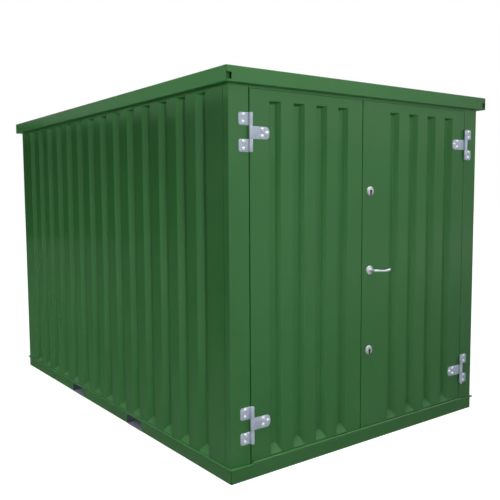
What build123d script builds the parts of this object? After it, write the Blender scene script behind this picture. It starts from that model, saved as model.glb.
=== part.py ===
"""Portable site cabin: a lockable steel store with fluted walls and a two-leaf door in its short end.

Millimetres, +Z up. The origin is on the ground under the middle of the body. The door end faces -Y.
"""
from build123d import *
from math import cos, hypot, radians, sin
import os

# Body
body_width = 2100.0
body_length = 3050.0
overall_height = 2150.0

# Clearances
overrun = 10.0
seat_clearance = 0.3
panel_seam = 1.5

# Base frame
base_sheet = 3.0
base_flange = 50.0
sill_lip_out = 12.0
sill_lip_height = 8.0
pocket_width = 200.0
pocket_height = 64.0
pocket_spacing = 905.0
pocket_wall = 2.5
joist_width = 45.0
joist_sheet = 2.5
floor_thickness = 21.0
floor_edge_gap = 2.0

# Roof frame
roof_overhang = 40.0
fascia_height = 80.0
roof_sheet = 2.0
roof_bend = 4.0
roof_top_flange = 32.0
roof_top_lip = 12.0
gutter_width = 90.0
gutter_upstand = 35.0
drain_width = 34.0
drain_height = 34.0
drain_rise = 12.0
drain_slit = 5.0
cover_sheet = 1.25
cover_lap = 20.0
cover_rib_height = 18.0
cover_rib_width = 60.0
cover_rib_slope = 15.0
cover_rib_pitch = 249.0
bearer_width = 50.0
bearer_sheet = 2.0

# Corner posts
post_sheet = 2.5
post_bend = 4.0
post_return = 48.0
post_face_width = 130.0
stop_lip_width = 20.0

# Wall panels
wall_sheet = 1.25
wall_lip = 14.0
wall_flute_pitch = 196.0
wall_flute_width = 98.0
wall_flute_depth = 33.0
wall_flute_slope = 30.0
wall_flute_ramp = 45.0
wall_flute_crown = 12.0
wall_flute_foot = 4.0
wall_flute_head = 15.0
wall_end_flat = 80.0

# Door leaves
door_sheet = 1.5
leaf_depth = 40.0
leaf_lip = 22.0
leaf_stop_gap = 5.0
hinge_gap = 6.0
meeting_gap = 7.0
meeting_from_left = 977.0
leaf_foot_gap = 5.0
leaf_head_gap = 5.0
door_flute_depth = 32.0
door_flute_slope = 20.0
door_flute_ramp = 45.0
door_flute_crown = 10.0
door_flute_foot = 4.0
door_flute_head = 50.0
left_flute_pitch = 169.0
left_flute_width = 81.0
left_hinge_flat = 133.0
left_meeting_flat = 80.0
right_flute_pitch = 179.0
right_flute_width = 86.0
right_hinge_flat = 123.0
right_meeting_flat = 200.0
header_drop = 15.0
threshold_rise = 8.0

# Hinges
hinge_upper_drop = 238.0
hinge_lower_rise = 213.0
hinge_plate = 4.0
hinge_leaf_height = 65.0
hinge_leaf_gap = 2.5
hinge_flange_reach = 71.0
hinge_strap_reach = 131.0
hinge_flange_corner = 12.0
hinge_strap_corner = 25.0
knuckle_radius = 11.0
knuckle_stand_off = 13.0
pin_radius = 5.0
pin_clearance = 0.4

# Locks
lock_setback = 66.0
lock_upper_height = 1528.0
lock_lower_height = 568.0
rose_radius = 27.5
rose_thickness = 8.0
rose_edge = 4.0
cylinder_radius = 8.5
cylinder_tail_width = 10.0
cylinder_height = 33.0
cylinder_proud = 2.0
keyway_width = 2.2
keyway_height = 8.0
keyway_depth = 6.0
case_width = 92.0
case_height = 165.0
case_depth = 18.0
case_corner = 4.0

# Lever handle
handle_height = 1055.0
collar_radius = 12.0
collar_length = 6.0
neck_radius = 8.0
lever_length = 132.0
lever_stand_off = 50.0
lever_height = 17.0
lever_depth = 14.0
lever_droop = 7.0
lever_bend = 14.0
lever_bend_steps = 3
lever_sides = 12
spindle_size = 8.0
lever_station_shares = (0.3, 0.62, 0.86, 0.97, 1.0)
lever_size_shares = (0.8, 0.78, 1.0, 0.9, 0.55)
lever_droop_shares = (0.6, 1.0, 0.5, 0.1, 0.0)

# Sizes that follow
half_width = body_width / 2
half_length = body_length / 2
base_height = pocket_height + floor_thickness
fascia_foot = overall_height - fascia_height
wall_depth = wall_flute_depth + 2 * wall_sheet
stop_depth = leaf_depth + leaf_stop_gap
header_foot = fascia_foot - header_drop
threshold_height = base_height + threshold_rise
leaf_foot = threshold_height + leaf_foot_gap
leaf_head = header_foot - leaf_head_gap
hinge_upper_height = fascia_foot - hinge_upper_drop
hinge_lower_height = base_height + hinge_lower_rise
hinge_axis_inset = post_face_width + hinge_gap / 2
hinge_axis_y = -half_length - knuckle_stand_off
left_hinge_x = -half_width + hinge_axis_inset
right_hinge_x = half_width - hinge_axis_inset
meeting_x = -half_width + meeting_from_left
lock_x = meeting_x + lock_setback
cover_height = fascia_foot + gutter_upstand


def strip(points, thickness, bend):
    """Section of a sheet folded along its outer line, with its thickness to the left of the line's travel."""
    line = FilletPolyline(*points, radius=bend)
    return make_face(offset(line, amount=thickness, side=Side.LEFT))


def outline(points):
    """Flat face inside straight edges."""
    return make_face(Polyline(*points, close=True))


def on_side(angle, distance, shape):
    """Turn a piece modelled on the front, with its outer face on y = 0, to another side of the body."""
    return Rot(0, 0, angle) * Pos(0, -distance, 0) * shape


def mitred_rail(section, half_run, outside, inside):
    """Rail along X with both ends cut at 45 degrees, so that four of them close a frame."""
    far_out = outside + overrun
    far_in = inside + overrun
    plan = outline(
        [
            (-half_run - far_out, -far_out),
            (half_run + far_out, -far_out),
            (half_run - far_in, far_in),
            (-half_run + far_in, far_in),
        ]
    )
    rail = extrude(Plane.YZ * section, amount=half_run + far_out, both=True)
    return rail & extrude(plan, amount=overall_height + overrun, both=True)


def flute(width, depth, slope, foot, head, ramp, crown):
    """Closed recess from y = 0 inwards: sloped sides, a long ramp at its foot and a steep crown at its head."""
    plan = outline([(-width / 2, 0), (width / 2, 0), (width / 2 - slope, depth), (slope - width / 2, depth)])
    side = outline([(0, foot), (0, head), (depth, head - crown), (depth, foot + ramp)])
    return extrude(plan, amount=head) & extrude(Plane.YZ * side, amount=width, both=True)


def grown_flute(width, depth, slope, foot, head, ramp, crown, sheet):
    """The same recess, larger by the sheet's thickness square to each of its faces."""
    share = (depth + sheet) / depth
    side_growth = sheet * hypot(slope, depth) / depth
    ramp_growth = sheet * hypot(ramp, depth) / depth
    crown_growth = sheet * hypot(crown, depth) / depth
    return flute(
        width + 2 * side_growth,
        depth + sheet,
        slope * share,
        foot - ramp_growth,
        head + crown_growth,
        ramp * share,
        crown * share,
    )


def fluted_pan(low, high, depth, sheet, lip, centres, form):
    """Sheet pan with folded edges and lips, its outer face on y = 0, pressed with a row of upright flutes."""
    width = high[0] - low[0]
    height = high[1] - low[1]
    from_corner = (Align.CENTER, Align.MIN, Align.MIN)
    body = Box(width, depth, height, align=from_corner)
    hollow = Pos(0, sheet, sheet) * Box(
        width - 2 * sheet, depth - 2 * sheet, height - 2 * sheet, align=from_corner
    )
    mouth = Pos(0, depth / 2, lip) * Box(width - 2 * lip, depth, height - 2 * lip, align=from_corner)
    pan = Pos((low[0] + high[0]) / 2, 0, low[1]) * (body - hollow - mouth)
    shells = [Pos(centre, 0, 0) * grown_flute(*form, sheet) for centre in centres]
    recesses = [Pos(centre, 0, 0) * flute(*form) for centre in centres]
    return pan + shells - recesses


def base_rail(half_run):
    """Channel with its open side inwards and a hemmed sill lip along its upper outer edge."""
    section = outline(
        [
            (0, 0),
            (base_flange, 0),
            (base_flange, base_sheet),
            (base_sheet, base_sheet),
            (base_sheet, base_height - base_sheet),
            (base_flange, base_height - base_sheet),
            (base_flange, base_height),
            (-sill_lip_out, base_height),
            (-sill_lip_out, base_height - sill_lip_height),
            (0, base_height - sill_lip_height),
        ]
    )
    return mitred_rail(section, half_run, sill_lip_out, base_flange)


def pocketed_rail():
    """Long base rail with its two fork pockets cut from the ground edge."""
    rail = base_rail(half_length)
    notch = Box(
        pocket_width + 2 * seat_clearance,
        2 * (base_flange + overrun),
        2 * (pocket_height + seat_clearance),
    )
    return rail - [Pos(place, 0, 0) * notch for place in (-pocket_spacing / 2, pocket_spacing / 2)]


def fork_tunnel():
    """Rectangular tube across the base that takes one fork."""
    from_ground = (Align.CENTER, Align.CENTER, Align.MIN)
    tube = Box(body_width, pocket_width, pocket_height, align=from_ground)
    bore = Pos(0, 0, pocket_wall) * Box(
        body_width + overrun,
        pocket_width - 2 * pocket_wall,
        pocket_height - 2 * pocket_wall,
        align=from_ground,
    )
    return tube - bore


def floor_joists():
    """Channels between the long base rails, on their lower flanges and under the floor boards."""
    end_place = half_length - base_flange - joist_width / 2
    bay_place = (end_place + pocket_spacing / 2) / 2
    section = outline(
        [
            (-joist_width / 2, base_sheet),
            (joist_width / 2, base_sheet),
            (joist_width / 2, base_sheet + joist_sheet),
            (joist_sheet - joist_width / 2, base_sheet + joist_sheet),
            (joist_sheet - joist_width / 2, pocket_height - joist_sheet),
            (joist_width / 2, pocket_height - joist_sheet),
            (joist_width / 2, pocket_height),
            (-joist_width / 2, pocket_height),
        ]
    )
    joist = extrude(Plane.YZ * section, amount=half_width - base_sheet - seat_clearance, both=True)
    places = (-end_place, -bay_place, 0, bay_place, end_place)
    return Compound([Pos(0, place, 0) * joist for place in places])


def floor_board(start, end):
    """Plywood board across the whole floor."""
    width = body_width - 2 * (base_flange + floor_edge_gap)
    board = Box(width, end - start, floor_thickness, align=(Align.CENTER, Align.MIN, Align.MIN))
    return Pos(0, start, pocket_height) * board


def upright(section):
    """Folded section stood between the base frame and the roof frame."""
    return Pos(0, 0, base_height) * extrude(section, amount=fascia_foot - base_height)


def front_post():
    """Left front post: side return, door-end face, jamb and stop lip, drawn from its outer corner."""
    section = strip(
        [
            (wall_depth, post_return),
            (0, post_return),
            (0, 0),
            (post_face_width, 0),
            (post_face_width, stop_depth),
            (post_face_width + stop_lip_width, stop_depth),
        ],
        post_sheet,
        post_bend,
    )
    return Pos(-half_width, -half_length, 0) * upright(section)


def back_post():
    """Left back post, drawn on the front: a corner with a lip at each end for the panels' edges."""
    section = strip(
        [(wall_depth, post_return), (0, post_return), (0, 0), (post_return, 0), (post_return, wall_depth)],
        post_sheet,
        post_bend,
    )
    return Pos(-half_width, -half_length, 0) * upright(section)


def wall_flute_form():
    """Sizes of one wall flute, in the order that a flute takes them."""
    return (
        wall_flute_width,
        wall_flute_depth,
        wall_flute_slope,
        base_height + wall_flute_foot,
        fascia_foot - wall_flute_head,
        wall_flute_ramp,
        wall_flute_crown,
    )


def side_panel():
    """Half of a long wall, to the right of the seam seen from outside, with flutes counted from the seam."""
    edge = half_length - post_return
    count = int((edge - wall_end_flat) // wall_flute_pitch)
    centres = [wall_flute_pitch * (number + 0.5) for number in range(count)]
    low = (panel_seam / 2, base_height)
    return fluted_pan(low, (edge, fascia_foot), wall_depth, wall_sheet, wall_lip, centres, wall_flute_form())


def back_wall():
    """One panel between the back posts, with an odd row of flutes about its middle."""
    edge = half_width - post_return
    each_side = int((edge - wall_end_flat - wall_flute_width / 2) // wall_flute_pitch)
    centres = [wall_flute_pitch * number for number in range(-each_side, each_side + 1)]
    low = (-edge, base_height)
    return fluted_pan(low, (edge, fascia_foot), wall_depth, wall_sheet, wall_lip, centres, wall_flute_form())


def roof_rail(half_run):
    """Fascia with a top flange, an underside over the wall and a gutter upstand that carries the roof sheet."""
    section = strip(
        [
            (roof_top_flange, overall_height - roof_top_lip),
            (roof_top_flange, overall_height),
            (0, overall_height),
            (0, fascia_foot),
            (gutter_width, fascia_foot),
            (gutter_width, cover_height),
        ],
        roof_sheet,
        roof_bend,
    )
    return mitred_rail(section, half_run, 0, gutter_width)


def end_roof_rail():
    """Rail over a short end, with one of the gutter's drain notches and its slit at each corner."""
    half_run = half_width + roof_overhang
    from_corner = (Align.MIN, Align.CENTER, Align.MIN)
    across = 2 * roof_bend
    notch = Box(drain_width + overrun, across, drain_height, align=from_corner)
    slit = Box(drain_slit + overrun, across, drain_rise + overrun, align=from_corner)
    cut = Pos(0, 0, fascia_foot + drain_rise) * notch + Pos(0, 0, fascia_foot - overrun) * slit
    left_cut = Pos(-half_run - overrun, 0, 0) * cut
    return roof_rail(half_run) - left_cut - across_middle(left_cut)


def cover_ends():
    """Front and back edges of the roof sheets, past the upstands of the end rails."""
    reach = half_length + roof_overhang - gutter_width + cover_lap
    return -reach, reach


def roof_cover(start, end):
    """Ribbed sheet across the roof, laid on the upstands and bearers, with whole ribs about its middle."""
    middle = (start + end) / 2
    rib_half = cover_rib_width / 2
    each_side = int(((end - start) / 2 - rib_half - cover_lap) // cover_rib_pitch)
    low = cover_height
    top = cover_height + cover_rib_height
    points = [(start, low)]
    for number in range(-each_side, each_side + 1):
        rib = middle + cover_rib_pitch * number
        points += [
            (rib - rib_half, low),
            (rib - rib_half + cover_rib_slope, top),
            (rib + rib_half - cover_rib_slope, top),
            (rib + rib_half, low),
        ]
    points.append((end, low))
    section = make_face(offset(Polyline(*points), amount=cover_sheet, side=Side.LEFT))
    across = half_width + roof_overhang - gutter_width + cover_lap
    return extrude(Plane.YZ * section, amount=across, both=True)


def roof_bearers(seams):
    """Hat sections under the seams of the roof sheets, between the long rails' upstands."""
    half = bearer_width / 2
    section = outline(
        [
            (-half, fascia_foot),
            (bearer_sheet - half, fascia_foot),
            (bearer_sheet - half, cover_height - bearer_sheet),
            (half - bearer_sheet, cover_height - bearer_sheet),
            (half - bearer_sheet, fascia_foot),
            (half, fascia_foot),
            (half, cover_height),
            (-half, cover_height),
        ]
    )
    across = half_width + roof_overhang - gutter_width
    bearer = extrude(Plane.YZ * section, amount=across, both=True)
    return Compound([Pos(0, seam, 0) * bearer for seam in seams])


def door_header():
    """Head of the doorway between the posts: a face flush with theirs, a soffit and a stop lip between their lips."""
    half_run = half_width - post_face_width
    section = strip(
        [
            (0, fascia_foot),
            (0, header_foot),
            (stop_depth, header_foot),
            (stop_depth, header_foot - stop_lip_width),
        ],
        post_sheet,
        post_bend,
    )
    header = extrude(Plane.YZ * section, amount=half_run, both=True)
    corner = Box(stop_lip_width + overrun, stop_depth, 2 * fascia_foot, align=(Align.MIN, Align.MIN, Align.CENTER))
    right_corner = Pos(half_run - stop_lip_width, stop_depth - post_bend, 0) * corner
    return header - right_corner - across_middle(right_corner)


def door_threshold():
    """Folded strip on the front base rail between the posts, level with the sill lip in front."""
    section = strip(
        [
            (leaf_depth, base_height),
            (leaf_depth, threshold_height),
            (-sill_lip_out, threshold_height),
            (-sill_lip_out, base_height),
        ],
        post_sheet,
        post_bend,
    )
    return extrude(Plane.YZ * section, amount=half_width - post_face_width - seat_clearance, both=True)


def door_flute_form(width):
    """Sizes of one door flute, in the order that a flute takes them."""
    return (
        width,
        door_flute_depth,
        door_flute_slope,
        leaf_foot + door_flute_foot,
        leaf_head - door_flute_head,
        door_flute_ramp,
        door_flute_crown,
    )


def door_leaf(hinge_edge, meeting_edge, hinge_flat, meeting_flat, pitch, width):
    """Leaf between its hinge edge and its meeting edge, with as many flutes from the hinge edge as fit."""
    way = 1 if meeting_edge > hinge_edge else -1
    first = hinge_edge + way * (hinge_flat + width / 2)
    room = abs(meeting_edge - hinge_edge) - hinge_flat - meeting_flat - width
    centres = [first + way * pitch * number for number in range(int(room // pitch) + 1)]
    low = (min(hinge_edge, meeting_edge), leaf_foot)
    high = (max(hinge_edge, meeting_edge), leaf_head)
    return fluted_pan(low, high, leaf_depth, door_sheet, leaf_lip, centres, door_flute_form(width))


def cylinder_section(growth):
    """Key cylinder seen from the front: a round head with a straight tail below it, on the lock's axis."""
    radius = cylinder_radius + growth
    tail = cylinder_height - cylinder_radius + growth
    return Circle(radius) + Pos(0, -tail / 2) * Rectangle(cylinder_tail_width + 2 * growth, tail)


def along_depth(section, start, end):
    """Extrude a section seen from the front between two depths behind the door's outer face."""
    return extrude(Plane((0, start, 0), x_dir=(1, 0, 0), z_dir=(0, -1, 0)) * section, amount=start - end)


def lock_rose():
    """Domed round rose with a hole for the key cylinder."""
    section = outline(
        [
            (0, 0),
            (rose_radius, 0),
            (rose_radius, rose_edge),
            (rose_radius - rose_edge, rose_thickness),
            (0, rose_thickness),
        ]
    )
    disc = revolve(Plane.XZ * section, axis=Axis.Z)
    turned = Rot(90, 0, 0) * disc
    return turned - along_depth(cylinder_section(seat_clearance), overrun, -rose_thickness - overrun)


def lock_cylinder():
    """Key cylinder from just proud of its rose back to its case, with a keyway."""
    front = -rose_thickness - cylinder_proud
    body = along_depth(cylinder_section(0), door_sheet + case_depth, front)
    keyway = along_depth(Rectangle(keyway_width, keyway_height), front + keyway_depth, front - overrun)
    return body - keyway


def lock_case(bore):
    """Box lock behind the leaf's skin, bored for what turns it."""
    edge = meeting_x + meeting_gap / 2 + door_sheet + seat_clearance
    block = Box(case_width, case_depth, case_height, align=(Align.MIN, Align.MIN, Align.CENTER))
    block = chamfer(block.edges().filter_by(Axis.Y), case_corner)
    return Pos(edge - lock_x, door_sheet, 0) * block - bore


def handle_rose():
    """Round rose with a collar about the lever's neck."""
    section = outline(
        [
            (neck_radius + seat_clearance, 0),
            (rose_radius, 0),
            (rose_radius, rose_edge),
            (rose_radius - rose_edge, rose_thickness),
            (collar_radius, rose_thickness),
            (collar_radius, rose_thickness + collar_length),
            (neck_radius + seat_clearance, rose_thickness + collar_length),
        ]
    )
    return Rot(90, 0, 0) * revolve(Plane.XZ * section, axis=Axis.Z)


def lever_section(place, depth, height):
    """Many-sided oval across the lever, on a plane with its X along the door's depth."""
    turns = [360 * number / lever_sides for number in range(lever_sides)]
    return place * outline([(depth / 2 * cos(radians(turn)), height / 2 * sin(radians(turn))) for turn in turns])


def handle_lever():
    """Lever on a bent neck and a square spindle: it droops a little and swells again at its tip."""
    neck = 2 * neck_radius
    sections = [lever_section(Plane((0, 0, 0), x_dir=(-1, 0, 0), z_dir=(0, -1, 0)), neck, neck)]
    for step in range(lever_bend_steps + 1):
        turn = 90 * step / lever_bend_steps
        across = lever_bend * (1 - cos(radians(turn)))
        out = lever_stand_off - lever_bend * (1 - sin(radians(turn)))
        sides = (-cos(radians(turn)), sin(radians(turn)), 0)
        heading = (sin(radians(turn)), -cos(radians(turn)), 0)
        sections.append(lever_section(Plane((across, -out, 0), x_dir=sides, z_dir=heading), neck, neck))
    for station, size, droop in zip(lever_station_shares, lever_size_shares, lever_droop_shares):
        along = lever_bend + station * (lever_length - lever_bend)
        place = Plane((along, -lever_stand_off, -droop * lever_droop), x_dir=(0, 1, 0), z_dir=(1, 0, 0))
        sections.append(lever_section(place, size * lever_depth, size * lever_height))
    spindle = along_depth(Rectangle(spindle_size, spindle_size), door_sheet + case_depth, 0)
    return loft(sections, ruled=True) + spindle


def hinge_plate_blank(reach, corner):
    """Plate from the pin's axis to its rounded outer corners, against the face of the door end."""
    plate = Rectangle(reach, hinge_leaf_height, align=(Align.MIN, Align.CENTER))
    plate = fillet(plate.vertices().group_by(Axis.X)[-1], corner)
    back = knuckle_stand_off
    return along_depth(plate, back, back - hinge_plate)


def knuckle():
    """Rolled barrel of one hinge plate, on the pin's axis."""
    return Cylinder(knuckle_radius, hinge_leaf_height)


def hinge_strap():
    """Door half: one strap with the middle knuckle, bored for the pin, drawn to the right of the axis."""
    bore = Cylinder(pin_radius + pin_clearance, hinge_leaf_height + overrun)
    return hinge_plate_blank(hinge_strap_reach, hinge_strap_corner) + knuckle() - bore


def hinge_flanges():
    """Post half: two flanges above and below the strap, joined by the pin, drawn to the left of the axis."""
    step = hinge_leaf_height + hinge_leaf_gap
    flange = mirror(hinge_plate_blank(hinge_flange_reach, hinge_flange_corner), about=Plane.YZ) + knuckle()
    pin = Cylinder(pin_radius, 2 * step)
    return Pos(0, 0, step) * flange + Pos(0, 0, -step) * flange + pin


def across_middle(shape):
    """The same piece on the other side of the body's middle plane."""
    return mirror(shape, about=Plane.YZ)


nodes = {}

# Base frame and floor
nodes["base_front_rail"] = on_side(0, half_length, base_rail(half_width))
nodes["base_back_rail"] = on_side(180, half_length, base_rail(half_width))
nodes["base_left_rail"] = on_side(-90, half_width, pocketed_rail())
nodes["base_right_rail"] = on_side(90, half_width, pocketed_rail())
nodes["front_fork_tunnel"] = Pos(0, -pocket_spacing / 2, 0) * fork_tunnel()
nodes["back_fork_tunnel"] = Pos(0, pocket_spacing / 2, 0) * fork_tunnel()
nodes["floor_joists"] = floor_joists()
floor_end = half_length - base_flange - floor_edge_gap
floor_seam = pocket_spacing / 2
nodes["front_floor_board"] = floor_board(-floor_end, -floor_seam - floor_edge_gap / 2)
nodes["middle_floor_board"] = floor_board(floor_edge_gap / 2 - floor_seam, floor_seam - floor_edge_gap / 2)
nodes["back_floor_board"] = floor_board(floor_seam + floor_edge_gap / 2, floor_end)

# Posts and walls
nodes["front_left_post"] = front_post()
nodes["front_right_post"] = across_middle(front_post())
nodes["back_right_post"] = Rot(0, 0, 180) * back_post()
nodes["back_left_post"] = across_middle(nodes["back_right_post"])
nodes["left_wall_front_panel"] = on_side(-90, half_width, side_panel())
nodes["left_wall_back_panel"] = mirror(nodes["left_wall_front_panel"], about=Plane.XZ)
nodes["right_wall_front_panel"] = across_middle(nodes["left_wall_front_panel"])
nodes["right_wall_back_panel"] = across_middle(nodes["left_wall_back_panel"])
nodes["back_wall"] = on_side(180, half_length, back_wall())

# Roof
nodes["front_roof_rail"] = on_side(0, half_length + roof_overhang, end_roof_rail())
nodes["back_roof_rail"] = on_side(180, half_length + roof_overhang, end_roof_rail())
nodes["left_roof_rail"] = on_side(-90, half_width + roof_overhang, roof_rail(half_length + roof_overhang))
nodes["right_roof_rail"] = on_side(90, half_width + roof_overhang, roof_rail(half_length + roof_overhang))
cover_start, cover_end = cover_ends()
cover_step = (cover_end - cover_start) / 3
cover_seams = [cover_start + cover_step, cover_end - cover_step]
nodes["front_roof_sheet"] = roof_cover(cover_start, cover_seams[0] - panel_seam / 2)
nodes["middle_roof_sheet"] = roof_cover(cover_seams[0] + panel_seam / 2, cover_seams[1] - panel_seam / 2)
nodes["back_roof_sheet"] = roof_cover(cover_seams[1] + panel_seam / 2, cover_end)
nodes["roof_bearers"] = roof_bearers(cover_seams)

# Door end
nodes["door_header"] = on_side(0, half_length, door_header())
nodes["door_threshold"] = on_side(0, half_length, door_threshold())
left_leaf = door_leaf(
    left_hinge_x + hinge_gap / 2,
    meeting_x - meeting_gap / 2,
    left_hinge_flat,
    left_meeting_flat,
    left_flute_pitch,
    left_flute_width,
)
nodes["left_door_leaf"] = on_side(0, half_length, left_leaf)
lock_heights = (lock_upper_height, lock_lower_height)
cylinder_bore = along_depth(cylinder_section(seat_clearance), leaf_depth + overrun, -overrun)
spindle_bore = along_depth(Circle(neck_radius), leaf_depth + overrun, -overrun)
bores = {height: cylinder_bore for height in lock_heights}
bores[handle_height] = spindle_bore
right_leaf = door_leaf(
    right_hinge_x - hinge_gap / 2,
    meeting_x + meeting_gap / 2,
    right_hinge_flat,
    right_meeting_flat,
    right_flute_pitch,
    right_flute_width,
)
right_leaf = right_leaf - [Pos(lock_x, 0, height) * bore for height, bore in bores.items()]
nodes["right_door_leaf"] = on_side(0, half_length, right_leaf)
cases = Compound([Pos(lock_x, 0, height) * lock_case(bore) for height, bore in bores.items()])
nodes["lock_cases"] = on_side(0, half_length, cases)
nodes["lock_roses"] = Compound([Pos(lock_x, -half_length, height) * lock_rose() for height in lock_heights])
nodes["lock_cylinders"] = Compound(
    [Pos(lock_x, -half_length, height) * lock_cylinder() for height in lock_heights]
)
nodes["handle_rose"] = Pos(lock_x, -half_length, handle_height) * handle_rose()
nodes["handle_lever"] = Pos(lock_x, -half_length, handle_height) * handle_lever()

# Hinges
for level, height in {"upper": hinge_upper_height, "lower": hinge_lower_height}.items():
    flanges = Pos(left_hinge_x, hinge_axis_y, height) * hinge_flanges()
    strap = Pos(left_hinge_x, hinge_axis_y, height) * hinge_strap()
    nodes[f"{level}_left_hinge_flanges"] = flanges
    nodes[f"{level}_left_hinge_strap"] = strap
    nodes[f"{level}_right_hinge_flanges"] = across_middle(flanges)
    nodes[f"{level}_right_hinge_strap"] = across_middle(strap)

os.makedirs("parts", exist_ok=True)
for name, shape in nodes.items():
    export_step(shape, f"parts/{name}.step")
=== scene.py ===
import math
from itertools import product

import bmesh
import bpy
from bpy.props import FloatProperty, FloatVectorProperty, PointerProperty
from mathutils import Matrix, Vector


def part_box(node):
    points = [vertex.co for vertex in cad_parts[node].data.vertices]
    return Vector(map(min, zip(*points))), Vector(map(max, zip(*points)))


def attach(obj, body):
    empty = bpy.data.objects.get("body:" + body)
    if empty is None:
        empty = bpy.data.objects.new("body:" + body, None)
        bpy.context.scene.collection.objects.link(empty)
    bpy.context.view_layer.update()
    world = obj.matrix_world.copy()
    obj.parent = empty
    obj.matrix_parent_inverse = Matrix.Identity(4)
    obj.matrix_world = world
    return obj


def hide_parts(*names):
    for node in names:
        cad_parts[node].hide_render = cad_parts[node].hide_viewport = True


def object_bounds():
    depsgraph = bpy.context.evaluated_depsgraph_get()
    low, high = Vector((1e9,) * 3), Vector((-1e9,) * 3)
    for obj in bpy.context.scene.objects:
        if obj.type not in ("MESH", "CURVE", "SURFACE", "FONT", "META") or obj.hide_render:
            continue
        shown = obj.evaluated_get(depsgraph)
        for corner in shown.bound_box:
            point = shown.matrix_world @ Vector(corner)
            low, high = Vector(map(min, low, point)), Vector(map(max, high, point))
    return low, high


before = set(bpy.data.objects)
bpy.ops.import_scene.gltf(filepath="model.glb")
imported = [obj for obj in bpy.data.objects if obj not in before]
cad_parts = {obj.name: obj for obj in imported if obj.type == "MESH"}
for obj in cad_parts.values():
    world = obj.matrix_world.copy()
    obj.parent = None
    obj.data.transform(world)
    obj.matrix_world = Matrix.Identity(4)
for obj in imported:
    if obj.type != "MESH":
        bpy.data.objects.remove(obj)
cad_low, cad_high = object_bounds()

bl_info = {
    "name": "Portable site cabin",
    "version": (1, 0, 0),
    "blender": (4, 5, 0),
    "location": "3D View > Sidebar > Site cabin",
    "description": "Pressed panels, folded frame, hinges, locks and finishes of a portable site cabin",
    "category": "Object",
}

# Places taken from the CAD, and the radius of a hinge knuckle about its pin
half_width = -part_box("left_wall_front_panel")[0].x
half_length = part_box("back_wall")[1].y
base_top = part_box("base_front_rail")[1].z
fascia_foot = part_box("front_roof_rail")[0].z
roof_reach = cad_high.x - half_width
knuckle_radius = 0.011
hinge_axis_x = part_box("upper_right_hinge_strap")[1].x - knuckle_radius

# Turn in degrees from the front to each side of the body, and the way a leaf reaches from its hinges
side_turns = {"front": 0, "back": 180, "left": -90, "right": 90}
long_sides = ("left", "right")
leaf_ways = {"left": 1, "right": -1}

# Distances in metres at which two places count as one and at which two vertices are merged
close_by = 1e-5
merge_by = 1e-6

# Least angle in radians of a bend and of a sharp edge
slight_bend = 0.12
sharp_bend = 1.0


def length(name, description, default):
    """A size in metres."""
    return FloatProperty(name=name, description=description, default=default, unit="LENGTH", precision=4)


def degrees(name, description, default):
    """An angle, given in degrees."""
    return FloatProperty(name=name, description=description, default=math.radians(default), subtype="ANGLE")


def watts(name, description, default):
    """The power of a lamp."""
    return FloatProperty(name=name, description=description, default=default, unit="POWER")


def factor(name, description, default):
    """A share of the whole."""
    return FloatProperty(name=name, description=description, default=default, subtype="FACTOR")


def amount(name, description, default):
    """A plain number."""
    return FloatProperty(name=name, description=description, default=default)


def tint(name, description, default):
    """A plain colour."""
    return FloatVectorProperty(
        name=name, description=description, default=default, subtype="COLOR", size=3, min=0.0, max=1.0
    )


class CabinWallSizes(bpy.types.PropertyGroup):
    """Sizes of the pressed wall panels."""

    sheet: length("Sheet", "Thickness of the wall sheet", 0.00125)
    lip: length("Lip", "Width of the lip behind each folded edge", 0.014)
    pitch: length("Flute pitch", "Distance from one flute to the next", 0.196)
    width: length("Flute width", "Width of a flute at the outer face", 0.098)
    depth: length("Flute depth", "Depth of a flute", 0.033)
    slope: length("Flute slope", "Width of each sloped side", 0.030)
    foot: length("Flute foot", "From the base to the lower end of a flute", 0.004)
    head: length("Flute head", "From the fascia to the upper end of a flute", 0.015)
    ramp: length("Flute ramp", "Height of the ramp at the lower end", 0.045)
    crown: length("Flute crown", "Height of the steep end at the top", 0.012)
    margin: length("End margin", "Least flat beside the last flute", 0.040)
    press_bend: length("Press bend", "Width of the rounding along a pressed edge", 0.0034)
    fold_bend: length("Fold bend", "Width of the rounding along a folded edge", 0.0009)


class CabinDoorSizes(bpy.types.PropertyGroup):
    """Sizes of the pressed door leaves."""

    sheet: length("Sheet", "Thickness of the door sheet", 0.0015)
    lip: length("Lip", "Width of the lip behind each folded edge", 0.022)
    depth: length("Flute depth", "Depth of a flute", 0.032)
    slope: length("Flute slope", "Width of each sloped side", 0.020)
    foot: length("Flute foot", "From the lower edge to the lower end of a flute", 0.0086)
    head: length("Flute head", "From the upper edge to the upper end of a flute", 0.0546)
    ramp: length("Flute ramp", "Height of the ramp at the lower end", 0.045)
    crown: length("Flute crown", "Height of the steep end at the top", 0.010)
    cover: length("Edge cover", "How far a leaf's painted edge fills the gaps above and below it", 0.0046)
    left_pitch: length("Left pitch", "Flute pitch of the left leaf", 0.169)
    left_width: length("Left width", "Flute width of the left leaf", 0.081)
    left_hinge_flat: length("Left hinge flat", "Flat beside the hinges of the left leaf", 0.133)
    left_meeting_flat: length("Left meeting flat", "Least flat at the left leaf's meeting edge", 0.080)
    right_pitch: length("Right pitch", "Flute pitch of the right leaf", 0.179)
    right_width: length("Right width", "Flute width of the right leaf", 0.086)
    right_hinge_flat: length("Right hinge flat", "Flat beside the hinges of the right leaf", 0.123)
    right_meeting_flat: length("Right meeting flat", "Least flat at the right leaf's meeting edge", 0.200)


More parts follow.
